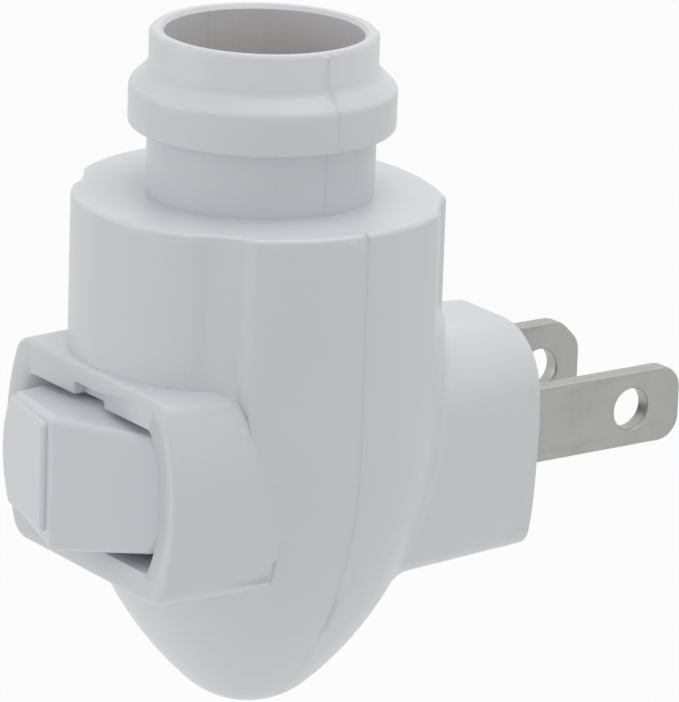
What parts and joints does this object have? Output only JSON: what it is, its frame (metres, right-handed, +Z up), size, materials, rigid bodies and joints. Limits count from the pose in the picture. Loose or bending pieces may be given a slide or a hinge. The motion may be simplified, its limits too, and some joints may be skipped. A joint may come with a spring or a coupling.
{
  "type": "plug in lamp holder",
  "caption": "Plug-in lamp holder: a bullet-shaped moulded housing with a screw socket on top, a rocker switch in front and two flat plug blades behind.",
  "frame": {"origin": "on the plug boss's flat wall face, midway between the two blades and at their mid height", "axes": "+Y points out of the wall face into the wall, the way the blades go; +Z up along the lamp axis; +X to the right seen from the switch side, towards the narrow blade"},
  "size_m": [0.0302, 0.0579, 0.0557],
  "materials": {
    "housing_plastic": "satin moulded white",
    "rocker_plastic": "satin moulded white",
    "acetal": "natural acetal",
    "phenolic": "moulded brown phenolic",
    "insulator": "moulded cream thermoset",
    "shell_brass": "rolled sheet brass",
    "contact_brass": "stamped brass",
    "contact_silver": "silver alloy",
    "spring_steel": "drawn wire",
    "rivet_steel": "plated",
    "blade_nickel": "nickel-plated brass, fine grain"
  },
  "bodies": {
    "housing": {"front_housing": "housing_plastic", "back_housing": "housing_plastic", "pivot_terminal": "contact_brass", "fixed_terminal": "contact_brass", "fixed_contact": "contact_silver", "switch_base": "phenolic", "screw_shell": "shell_brass", "socket_insulator": "insulator", "centre_contact": "contact_brass", "centre_rivet": "rivet_steel", "shell_rivet": "rivet_steel", "centre_strip": "contact_brass", "hot_blade": "blade_nickel", "neutral_blade": "blade_nickel", "hot_blade_rivet": "rivet_steel", "neutral_blade_rivet": "rivet_steel", "neutral_strip": "contact_brass", "hot_strip": "contact_brass"},
    "rocker": {"rocker": "rocker_plastic", "detent_spring": "spring_steel", "detent_plunger": "acetal"},
    "lever": {"contact_lever": "contact_brass", "moving_contact": "contact_silver"}
  },
  "joints": [
    {"name": "rocker_tilt", "type": "hinge", "parent": "housing", "child": "rocker", "pos_m": [0, -0.0362, 0.00033], "axis": [0, 0, 1], "range_deg": [-21, 0]},
    {"name": "lever_rock", "type": "hinge", "parent": "housing", "child": "lever", "pos_m": [0, -0.0303, 0.00033], "axis": [0, 0, 1], "range_deg": [0, 14]}
  ],
  "couplings": [
    {"joint": "lever_rock", "follows": "rocker_tilt", "ratio": -0.6666}
  ]
}
